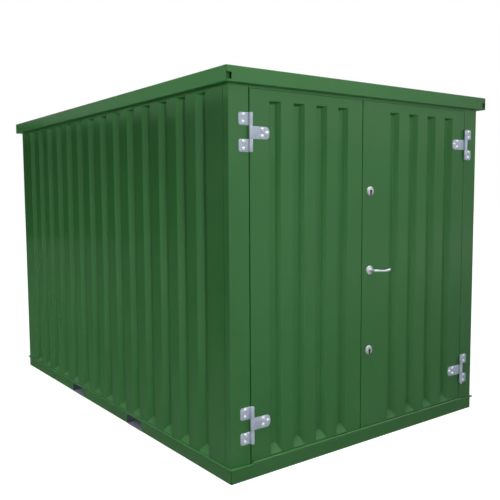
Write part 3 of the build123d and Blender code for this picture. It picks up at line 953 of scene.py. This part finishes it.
class SITECABIN_OT_roof(bpy.types.Operator):
    """Fold the four roof rails and paint the ribbed roof sheets"""

    bl_idname = "site_cabin.roof"
    bl_label = "Roof"

    def execute(self, context):
        sizes = context.scene.site_cabin.folds
        top = cad_high.z
        line = [
            (sizes.roof_flange, top - sizes.roof_lip),
            (sizes.roof_flange, top),
            (0, top),
            (0, fascia_foot),
            (sizes.gutter_width, fascia_foot),
            (sizes.gutter_width, fascia_foot + sizes.gutter_upstand),
        ]
        for side in side_turns:
            half_run = side_run(side, roof_reach)
            bm = mitred_rail(line, half_run, sizes.gutter_width)
            if side not in long_sides:
                self.cut_drain(bm, half_run, sizes)
            fold(bm, sizes.fold, sizes.roof_sheet)
            bm.transform(side_place(side, roof_reach))
            node = f"{side}_roof_rail"
            add_green_sheet(bm, f"folded_{node}", "cabin", [node])
        self.set_brackets(sizes)
        for part in ("front", "middle", "back"):
            paint_node(f"{part}_roof_sheet", green_enamel)
        return {"FINISHED"}

    def set_brackets(self, sizes):
        """Sets an angle bracket in each corner of the gutter, behind the drain notches."""
        leg = sizes.bracket_reach
        foot = fascia_foot + sizes.roof_sheet
        bracket = folded_strip([(-leg, 0), (0, 0), (0, -leg)], foot, foot + sizes.bracket_height, Matrix())
        fold(bracket, sizes.fold, sizes.bracket_sheet, 3)
        reach = roof_reach - sizes.bracket_inset
        corner = Matrix.Translation((half_width + reach, half_length + reach, 0))
        brackets = bmesh.new()
        for across in (-1, 1):
            for along in (-1, 1):
                copy_into(brackets, bracket, Matrix.Diagonal((across, along, 1, 1)) @ corner)
        bracket.free()
        add_green_sheet(brackets, "roof_corner_brackets", "cabin")

    def cut_drain(self, bm, half_run, sizes):
        """Cuts the gutter's drain notches and their slits in the fascia, at both corners."""
        sill = fascia_foot + sizes.drain_rise
        notch = half_run - sizes.drain_size
        slit = half_run - sizes.drain_slit
        for edge in (-slit, -notch, notch, slit):
            cut_across(bm, (edge, 0, 0), (1, 0, 0))
        cut_across(bm, (0, 0, sill), (0, 0, 1))
        cut_across(bm, (0, 0, sill + sizes.drain_size), (0, 0, 1))
        drop_faces(
            bm,
            lambda middle: abs(middle.y) < close_by
            and (
                (abs(middle.x) > notch and sill < middle.z < sill + sizes.drain_size)
                or (abs(middle.x) > slit and middle.z < sill)
            ),
        )


class SITECABIN_OT_floor(bpy.types.Operator):
    """Finish the floor boards, the joists and the fork tunnels"""

    bl_idname = "site_cabin.floor"
    bl_label = "Floor"

    def execute(self, context):
        for part in ("front", "middle", "back"):
            paint_node(f"{part}_floor_board", floor_plywood)
        for node in ("floor_joists", "front_fork_tunnel", "back_fork_tunnel"):
            paint_node(node, tunnel_steel)
        return {"FINISHED"}


class SITECABIN_OT_hinges(bpy.types.Operator):
    """Roll the hinge plates and set their pins"""

    bl_idname = "site_cabin.hinges"
    bl_label = "Hinges"

    def execute(self, context):
        sizes = context.scene.site_cabin.hinges
        flange = self.rolled_plate(sizes, sizes.flange_reach, sizes.flange_corner)
        strap = self.rolled_plate(sizes, sizes.strap_reach, sizes.strap_corner)
        pin = turned_bar(sizes.pin, 2 * sizes.step + sizes.height - sizes.pin_short, 24, sizes.edge)
        mirror = Matrix.Scale(-1, 4, (1, 0, 0))
        for level in ("upper", "lower"):
            for hand in leaf_ways:
                place = Matrix.Translation(hinge_axis(level, hand, sizes))
                own = place if hand == "left" else place @ mirror
                fixed = bmesh.new()
                for step in (-sizes.step, sizes.step):
                    copy_into(fixed, flange, own @ Matrix.Translation((0, 0, step)))
                copy_into(fixed, pin, place)
                self.add_plates(fixed, f"{level}_{hand}", "flanges", "cabin")
                swinging = bmesh.new()
                copy_into(swinging, strap, own @ mirror)
                self.add_plates(swinging, f"{level}_{hand}", "strap", f"{hand}_door")
        return {"FINISHED"}

    def add_plates(self, bm, hinge, part, body):
        """Makes the piece of a hinge that rides on one body."""
        nodes = [f"{hinge}_hinge_{part}"]
        add_piece(bm, f"{hinge}_rolled_{part}", body, plated_hinge, nodes)

    def rolled_plate(self, sizes, reach, corner):
        """Plate to the left of the pin, its outer corners rounded and its inner edge rolled round the pin."""
        bm = bmesh.new()
        outer = bm.verts.new((-reach, sizes.stand_off, 0))
        inner = bm.verts.new((-sizes.knuckle, sizes.stand_off, 0))
        tangent = bm.verts.new((0, sizes.knuckle, 0))
        plate = bm.edges.new((outer, inner))
        bm.edges.new((inner, tangent))
        bmesh.ops.spin(bm, geom=[tangent], cent=(0, 0, 0), axis=(0, 0, 1), angle=-sizes.roll, steps=25)
        run = bmesh.ops.extrude_edge_only(bm, edges=bm.edges[:])
        bmesh.ops.translate(bm, verts=new_verts(run), vec=(0, 0, sizes.height))
        bmesh.ops.translate(bm, verts=bm.verts[:], vec=(0, 0, -sizes.height / 2))
        bmesh.ops.remove_doubles(bm, verts=bm.verts[:], dist=merge_by)
        face_outwards(bm, plate.link_faces[0], (0, 1, 0))
        corners = [vert for vert in bm.verts if vert.co.x < close_by - reach]
        round_edges(bm, corners, corner, 8, "VERTICES")
        thicken(bm, sizes.plate)
        round_edges(bm, bent_edges(bm, sharp_bend), sizes.edge, 2)
        return bm


class SITECABIN_OT_hinge_bolts(bpy.types.Operator):
    """Set the domed hinge bolts and the nuts behind them"""

    bl_idname = "site_cabin.hinge_bolts"
    bl_label = "Hinge bolts"

    def execute(self, context):
        cabin = context.scene.site_cabin
        sizes = cabin.hinges
        head = self.domed_head(sizes)
        nut = self.nut_on_washer(sizes)
        half_flange = sizes.flange_spread / 2
        half_strap = sizes.strap_spread / 2
        flange_spots = [
            (-sizes.flange_bolt, step + rise)
            for step in (-sizes.step, sizes.step)
            for rise in (-half_flange, half_flange)
        ]
        strap_spots = [
            (sizes.strap_bolt, half_strap),
            (sizes.strap_bolt, -half_strap),
            (sizes.strap_end_bolt, 0),
        ]
        fixed = bmesh.new()
        for hand, way in leaf_ways.items():
            swinging = bmesh.new()
            for level in ("upper", "lower"):
                axis = hinge_axis(level, hand, sizes)
                for bm, spots, sheet in (
                    (fixed, flange_spots, cabin.folds.post_sheet),
                    (swinging, strap_spots, cabin.doors.sheet),
                ):
                    for reach, rise in spots:
                        face = Vector((axis.x + way * reach, -half_length, axis.z + rise))
                        copy_into(bm, head, Matrix.Translation(face - Vector((0, sizes.plate, 0))))
                        copy_into(bm, nut, Matrix.Translation(face + Vector((0, sheet, 0))))
            add_piece(swinging, f"{hand}_strap_bolts", f"{hand}_door", bolt_zinc)
        add_piece(fixed, "flange_bolts", "cabin", bolt_zinc)
        return {"FINISHED"}

    def domed_head(self, sizes):
        """Low dome that stands out from the door."""
        head = bmesh.new()
        bmesh.ops.create_uvsphere(head, u_segments=20, v_segments=12, radius=sizes.bolt)
        bmesh.ops.rotate(head, verts=head.verts[:], matrix=Matrix.Rotation(math.pi / 2, 3, "X"))
        cut_across(head, (0, 0, 0), (0, 1, 0), True)
        bmesh.ops.scale(head, verts=head.verts[:], vec=(1, sizes.bolt_rise / sizes.bolt, 1))
        return head

    def nut_on_washer(self, sizes):
        """Washer with a nut on it, from y = 0 inwards."""
        pair = bmesh.new()
        start = 0.0
        for radius, rise, sides in ((sizes.washer, sizes.washer_rise, 20), (sizes.nut, sizes.nut_rise, 6)):
            middle = Matrix.Translation((0, 0, start + rise / 2))
            shape = turned_bar(radius, rise, sides, sizes.nut_edge)
            copy_into(pair, shape, Matrix.Rotation(-math.pi / 2, 4, "X") @ middle)
            start += rise
        return pair


class SITECABIN_OT_locks(bpy.types.Operator):
    """Turn the lock roses and finish the key cylinders and the lock cases"""

    bl_idname = "site_cabin.locks"
    bl_label = "Locks"

    def execute(self, context):
        sizes = context.scene.site_cabin.locks
        low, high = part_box("lock_roses")
        across = (low.x + high.x) / 2
        rose = turned_rose(sizes, [(0, sizes.rose_dome)])
        bm = bmesh.new()
        for height in (high.z - sizes.rose, low.z + sizes.rose):
            copy_into(bm, rose, Matrix.Translation((across, -half_length, height)))
        add_piece(bm, "turned_lock_roses", "right_door", bright_chrome, ["lock_roses"], 60.0)
        paint_node("lock_cylinders", key_cylinder)
        paint_node("lock_cases", cast_case)
        return {"FINISHED"}


# Stations along the lever's straight run, with its size and its droop there, each as a share of the greatest
lever_stations = (
    (0.12, 0.90, 0.20),
    (0.30, 0.80, 0.60),
    (0.48, 0.76, 0.90),
    (0.62, 0.78, 1.00),
    (0.74, 0.90, 0.82),
    (0.86, 1.00, 0.50),
    (0.94, 0.97, 0.24),
    (0.985, 0.80, 0.08),
    (1.0, 0.52, 0.04),
)


class SITECABIN_OT_lever_handle(bpy.types.Operator):
    """Turn the handle's rose and shape its lever"""

    bl_idname = "site_cabin.lever_handle"
    bl_label = "Lever handle"

    def execute(self, context):
        sizes = context.scene.site_cabin.locks
        low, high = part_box("handle_rose")
        place = Matrix.Translation(((low.x + high.x) / 2, -half_length, (low.z + high.z) / 2))
        collar = [
            (sizes.collar + sizes.collar_fillet, sizes.rose_dome),
            (sizes.collar, sizes.rose_dome + sizes.collar_fillet),
            (sizes.collar, sizes.collar_rise - sizes.collar_chamfer),
            (sizes.collar - sizes.collar_chamfer, sizes.collar_rise),
            (sizes.neck, sizes.collar_rise),
        ]
        rose = turned_rose(sizes, collar)
        rose.transform(place)
        add_piece(rose, "turned_handle_rose", "right_door", bright_chrome, ["handle_rose"], 60.0)
        lever = self.shaped_lever(sizes)
        lever.transform(place)
        nodes = ["handle_lever"]
        piece = add_piece(lever, "shaped_handle_lever", "handle", bright_chrome, nodes, 80.0)
        smooth = piece.modifiers.new("smooth_lever", "SUBSURF")
        smooth.levels = 2
        smooth.render_levels = 2
        return {"FINISHED"}

    def shaped_lever(self, sizes):
        """Round neck out of the rose, a bend, and a lever that droops a little and swells at its tip."""
        bm = bmesh.new()
        foot = Matrix.Translation((0, -sizes.rose_rise / 2, 0)) @ Matrix.Rotation(math.pi / 2, 4, "X")
        bmesh.ops.create_circle(bm, cap_ends=False, segments=16, radius=sizes.neck, matrix=foot)
        bend_start = sizes.stand_off - sizes.bend
        ring, verts = self.next_ring(bm, bm.edges[:])
        bmesh.ops.translate(bm, verts=verts, vec=(0, sizes.rose_rise / 2 - bend_start, 0))
        bend_steps = 6
        turn = Matrix.Rotation(math.radians(90 / bend_steps), 3, "Z")
        for _ in range(bend_steps):
            ring, verts = self.next_ring(bm, ring)
            bmesh.ops.rotate(bm, verts=verts, cent=(sizes.bend, -bend_start, 0), matrix=turn)
        straight = sizes.reach - sizes.bend
        past = 0.0
        for station, size, droop in lever_stations:
            ring, verts = self.next_ring(bm, ring)
            bmesh.ops.translate(bm, verts=verts, vec=((station - past) * straight, 0, 0))
            past = station
            front, back = span(verts, 1)
            low, high = span(verts, 2)
            bmesh.ops.scale(
                bm,
                verts=verts,
                vec=(1, size * sizes.depth / (back - front), size * sizes.height / (high - low)),
                space=Matrix.Translation((0, -(front + back) / 2, -(low + high) / 2)),
            )
            bmesh.ops.translate(bm, verts=verts, vec=(0, 0, -droop * sizes.droop - (low + high) / 2))
        bmesh.ops.contextual_create(bm, geom=ring)
        bmesh.ops.recalc_face_normals(bm, faces=bm.faces[:])
        return bm

    def next_ring(self, bm, ring):
        """Extrudes the lever's open end, and returns the new ring's edges and vertices."""
        made = bmesh.ops.extrude_edge_only(bm, edges=ring)
        verts = new_verts(made)
        return [edge for edge in new_edges(made) if all(vert in verts for vert in edge.verts)], verts


# Each lamp's width and height, its place, the point it is turned to and the spread of its beam in degrees
softboxes = {
    "front": dict(size=(3.0, 2.0), place=(0.6, -10.5, 2.6), target=(0.1, -1.5, 3.7), spread=50),
    "side": dict(size=(3.0, 2.0), place=(-4.6, -10.5, 2.6), target=(0.0, -0.5, 3.3), spread=50),
    "corner": dict(size=(1.6, 0.4), place=(-3.4, -3.6, 0.25), target=(-0.9, -1.1, 0.2), spread=64),
    "low": dict(size=(3.6, 0.4), place=(-3.2, 1.8, 0.25), target=(-1.0, 1.8, 0.4), spread=95),
    "overhead": dict(size=(0.8, 0.8), place=(-1.55, -2.05, 8.0), target=(-1.0, -1.2, 0.0), spread=45),
    "eave": dict(size=(3.8, 0.06), place=(-3.0, 0.05, 2.3), target=(-1.09, 0.05, 2.11), spread=9),
}

# Corners of the surround that the paint mirrors, and the heights where its dark flags end and its cards end
left_near = (-17.0, -14.0)
left_far = (-17.0, 1.0)
back_near = (-11.0, 14.5)
back_far = (-3.0, 24.0)
back_skyline = 4.15
corner_skyline = 4.7
card_top = 9.0

# Each flag's ends on the ground, its foot and top, and its brightness at either end
flags = {
    "right_flag": dict(start=(12.0, -16.0), end=(34.0, -16.0), levels=(0.0, 3.36), tones=(0.55, 0.10)),
    "back_flag": dict(start=back_near, end=back_far, levels=(0.0, back_skyline), tones=(0.01, 0.01)),
    "back_card": dict(start=back_near, end=back_far, levels=(back_skyline, card_top), tones=(0.34, 0.34)),
    "corner_flag": dict(start=left_far, end=back_near, levels=(0.0, corner_skyline), tones=(0.16, 0.12)),
    "corner_card": dict(start=left_far, end=back_near, levels=(corner_skyline, card_top), tones=(0.36, 0.34)),
    "left_flag": dict(start=left_near, end=left_far, levels=(0.0, 5.5), tones=(0.36, 0.32)),
}
sky_card = dict(start=(2.0, -18.0), end=(26.0, -18.0), levels=(2.9, 15.0))
ceiling_card = dict(place=(4.5, -6.0, 9.0), size=(25.0, 8.0))
floor_card = dict(place=(0.0, 0.0, -0.001), size=(80.0, 80.0))


class SITECABIN_OT_stage(bpy.types.Operator):
    """Set the pale floor, the white surround, the lamps and the camera"""

    bl_idname = "site_cabin.stage"
    bl_label = "Stage"

    def execute(self, context):
        studio = context.scene.site_cabin.studio
        self.lay_floor(context, studio)
        self.set_world(context, studio)
        for name, lamp in softboxes.items():
            self.add_lamp(context, f"{name}_softbox", getattr(studio, name), **lamp)
        self.add_horizon(context, studio)
        self.add_flag(context, "sky_card", tones=(studio.bright_sky, studio.sky), **sky_card)
        self.add_ceiling(context, studio)
        for name, flag in flags.items():
            self.add_flag(context, name, **flag)
        self.aim_camera(context, studio)
        context.scene.view_settings.view_transform = "Standard"
        return {"FINISHED"}

    def add_prop(self, context, name, bm, material):
        """Piece of the stage, which is no part of the cabin."""
        mesh = bpy.data.meshes.new(name)
        bm.to_mesh(mesh)
        bm.free()
        mesh.materials.append(material)
        prop = bpy.data.objects.new(name, mesh)
        context.scene.collection.objects.link(prop)
        return prop

    def level_card(self, place, size):
        """Level sheet about a place."""
        bm = bmesh.new()
        matrix = Matrix.Translation(place) @ Matrix.Diagonal((*size, 1.0, 1.0))
        bmesh.ops.create_grid(bm, x_segments=1, y_segments=1, size=0.5, matrix=matrix)
        return bm

    def lay_floor(self, context, studio):
        """Pale floor: white to the camera, with the cabin's shadow on it, and mirrored as plain ground."""
        pale = FinishBuilder("pale_floor")
        path = pale.nodes.new("ShaderNodeLightPath")
        matt = pale.nodes.new("ShaderNodeBsdfDiffuse")
        matt.inputs["Color"].default_value = (studio.floor, studio.floor, studio.floor, 1.0)
        lift = pale.spread(path.outputs["Is Camera Ray"], (0.0, 1.0), (0.0, studio.floor_lift))
        seen = pale.nodes.new("ShaderNodeAddShader")
        pale.join(matt.outputs["BSDF"], seen.inputs[0])
        pale.join(pale.emission(lift), seen.inputs[1])
        ground = (studio.ground_dark, studio.ground_light)
        change = [tone - studio.ground_tone for tone in ground]
        mirrored = pale.emission(pale.spread(pale.along(studio.ground_slope), change, ground))
        choice = pale.nodes.new("ShaderNodeMixShader")
        pale.join(path.outputs["Is Glossy Ray"], choice.inputs["Fac"])
        pale.join(seen.outputs["Shader"], choice.inputs[1])
        pale.join(mirrored, choice.inputs[2])
        pale.show(choice.outputs["Shader"])
        self.add_prop(context, "studio_floor", self.level_card(**floor_card), pale.material)

    def set_world(self, context, studio):
        """White surround for the eye, a softer sky for what mirrors it, and even light."""
        world = bpy.data.worlds.new("studio_surround")
        world.use_nodes = True
        context.scene.world = world
        nodes = world.node_tree.nodes
        links = world.node_tree.links
        background = nodes["Background"]
        background.inputs["Color"].default_value = (1.0, 1.0, 1.0, 1.0)
        path = nodes.new("ShaderNodeLightPath")
        sky = nodes.new("ShaderNodeMapRange")
        sky.inputs["To Min"].default_value = studio.ambient
        sky.inputs["To Max"].default_value = studio.sky
        links.new(path.outputs["Is Glossy Ray"], sky.inputs["Value"])
        white = nodes.new("ShaderNodeMath")
        white.operation = "MAXIMUM"
        links.new(sky.outputs["Result"], white.inputs[0])
        links.new(path.outputs["Is Camera Ray"], white.inputs[1])
        links.new(white.outputs["Value"], background.inputs["Strength"])

    def add_lamp(self, context, name, power, size, place, target, spread):
        """Softbox turned to a target, too plain to be mirrored."""
        data = bpy.data.lights.new(name, "AREA")
        data.energy = power
        data.shape = "RECTANGLE"
        data.size, data.size_y = size
        data.spread = math.radians(spread)
        lamp = bpy.data.objects.new(name, data)
        lamp.location = place
        lamp.rotation_mode = "QUATERNION"
        lamp.rotation_quaternion = (Vector(target) - Vector(place)).to_track_quat("-Z", "Y")
        lamp.visible_glossy = False
        context.scene.collection.objects.link(lamp)

    def glow(self, name, start, end, tones):
        """Glow of a flag, changing evenly from its start to its end."""
        cloth = FinishBuilder(name)
        run = Vector(end) - Vector(start)
        way = run.normalized()
        first = Vector(start).dot(way)
        tone = cloth.spread(cloth.along((*way, 0.0)), (first, first + run.length), tones)
        cloth.show(cloth.emission(tone))
        return cloth.material

    def mirrored_only(self, context, name, bm, cloth):
        """Piece of the surround that shows only as a reflection."""
        flag = self.add_prop(context, name, bm, cloth)
        flag.visible_camera = False
        flag.visible_diffuse = False
        flag.visible_shadow = False

    def add_horizon(self, context, studio):
        """Low pale band all round, where the ground would meet the sky."""
        bm = bmesh.new()
        bmesh.ops.create_cone(
            bm,
            cap_ends=False,
            segments=48,
            radius1=studio.surround,
            radius2=studio.surround,
            depth=studio.horizon,
            matrix=Matrix.Translation((0, 0, studio.horizon / 2)),
        )
        tones = (studio.ground_light, studio.ground_light)
        self.mirrored_only(context, "horizon_flag", bm, self.glow("horizon_cloth", (0, 0), (1, 0), tones))

    def add_ceiling(self, context, studio):
        """Bright card overhead that rounded metal picks up as a highlight."""
        bm = self.level_card(**ceiling_card)
        tones = (studio.ceiling, studio.ceiling)
        self.mirrored_only(context, "ceiling_card", bm, self.glow("ceiling_cloth", (0, 0), (1, 0), tones))

    def add_flag(self, context, name, start, end, levels, tones):
        """Upright flag between two places on the ground and two levels."""
        bm = bmesh.new()
        foot = bm.edges.new([bm.verts.new((*spot, levels[0])) for spot in (start, end)])
        rise = bmesh.ops.extrude_edge_only(bm, edges=[foot])
        bmesh.ops.translate(bm, verts=new_verts(rise), vec=(0, 0, levels[1] - levels[0]))
        self.mirrored_only(context, name, bm, self.glow(f"{name}_cloth", start, end, tones))

    def aim_camera(self, context, studio):
        """Camera at the photograph's place and angle."""
        forward = Vector(
            (
                math.sin(studio.heading) * math.cos(studio.pitch),
                math.cos(studio.heading) * math.cos(studio.pitch),
                math.sin(studio.pitch),
            )
        )
        level = Vector((math.cos(studio.heading), -math.sin(studio.heading), 0))
        above = level.cross(forward)
        right = level * math.cos(studio.roll) + above * math.sin(studio.roll)
        up = above * math.cos(studio.roll) - level * math.sin(studio.roll)
        data = bpy.data.cameras.new("photo_camera")
        data.sensor_width = studio.sensor
        data.lens = studio.lens
        data.shift_x = studio.shift
        data.clip_end = studio.sight
        camera = bpy.data.objects.new("photo_camera", data)
        turn = Matrix((right, up, -forward)).transposed()
        camera.matrix_world = Matrix.Translation(studio.eye) @ turn.to_4x4()
        context.scene.collection.objects.link(camera)
        context.scene.camera = camera


class SITECABIN_PT_cabin(bpy.types.Panel):
    """Pieces and sizes of the site cabin"""

    bl_idname = "SITECABIN_PT_cabin"
    bl_label = "Site cabin"
    bl_space_type = "VIEW_3D"
    bl_region_type = "UI"
    bl_category = "Site cabin"

    def draw(self, context):
        for step in steps:
            self.layout.operator(step.bl_idname)
        cabin = context.scene.site_cabin
        for part in ("walls", "doors", "folds", "hinges", "locks", "finishes", "studio"):
            group = getattr(cabin, part)
            box = self.layout.box()
            for name in group.bl_rna.properties.keys():
                if name not in ("rna_type", "name"):
                    box.prop(group, name)


groups = (
    CabinWallSizes,
    CabinDoorSizes,
    CabinFrameSizes,
    CabinHingeSizes,
    CabinLockSizes,
    CabinFinishes,
    CabinStudio,
    CabinSettings,
)
steps = (
    SITECABIN_OT_base_rails,
    SITECABIN_OT_floor,
    SITECABIN_OT_posts,
    SITECABIN_OT_wall_panels,
    SITECABIN_OT_roof,
    SITECABIN_OT_door_leaves,
    SITECABIN_OT_hinges,
    SITECABIN_OT_hinge_bolts,
    SITECABIN_OT_locks,
    SITECABIN_OT_lever_handle,
    SITECABIN_OT_stage,
)


def register():
    """Registers the cabin's settings, operators and panel."""
    for kind in (*groups, *steps, SITECABIN_PT_cabin):
        bpy.utils.register_class(kind)
    bpy.types.Scene.site_cabin = PointerProperty(type=CabinSettings)


def unregister():
    """Takes the cabin's settings, operators and panel away again."""
    del bpy.types.Scene.site_cabin
    for kind in reversed((*groups, *steps, SITECABIN_PT_cabin)):
        bpy.utils.unregister_class(kind)


def main():
    """Builds the whole scene."""
    register()
    for step in steps:
        family, name = step.bl_idname.split(".")
        getattr(getattr(bpy.ops, family), name)()


if __name__ == "__main__":
    main()
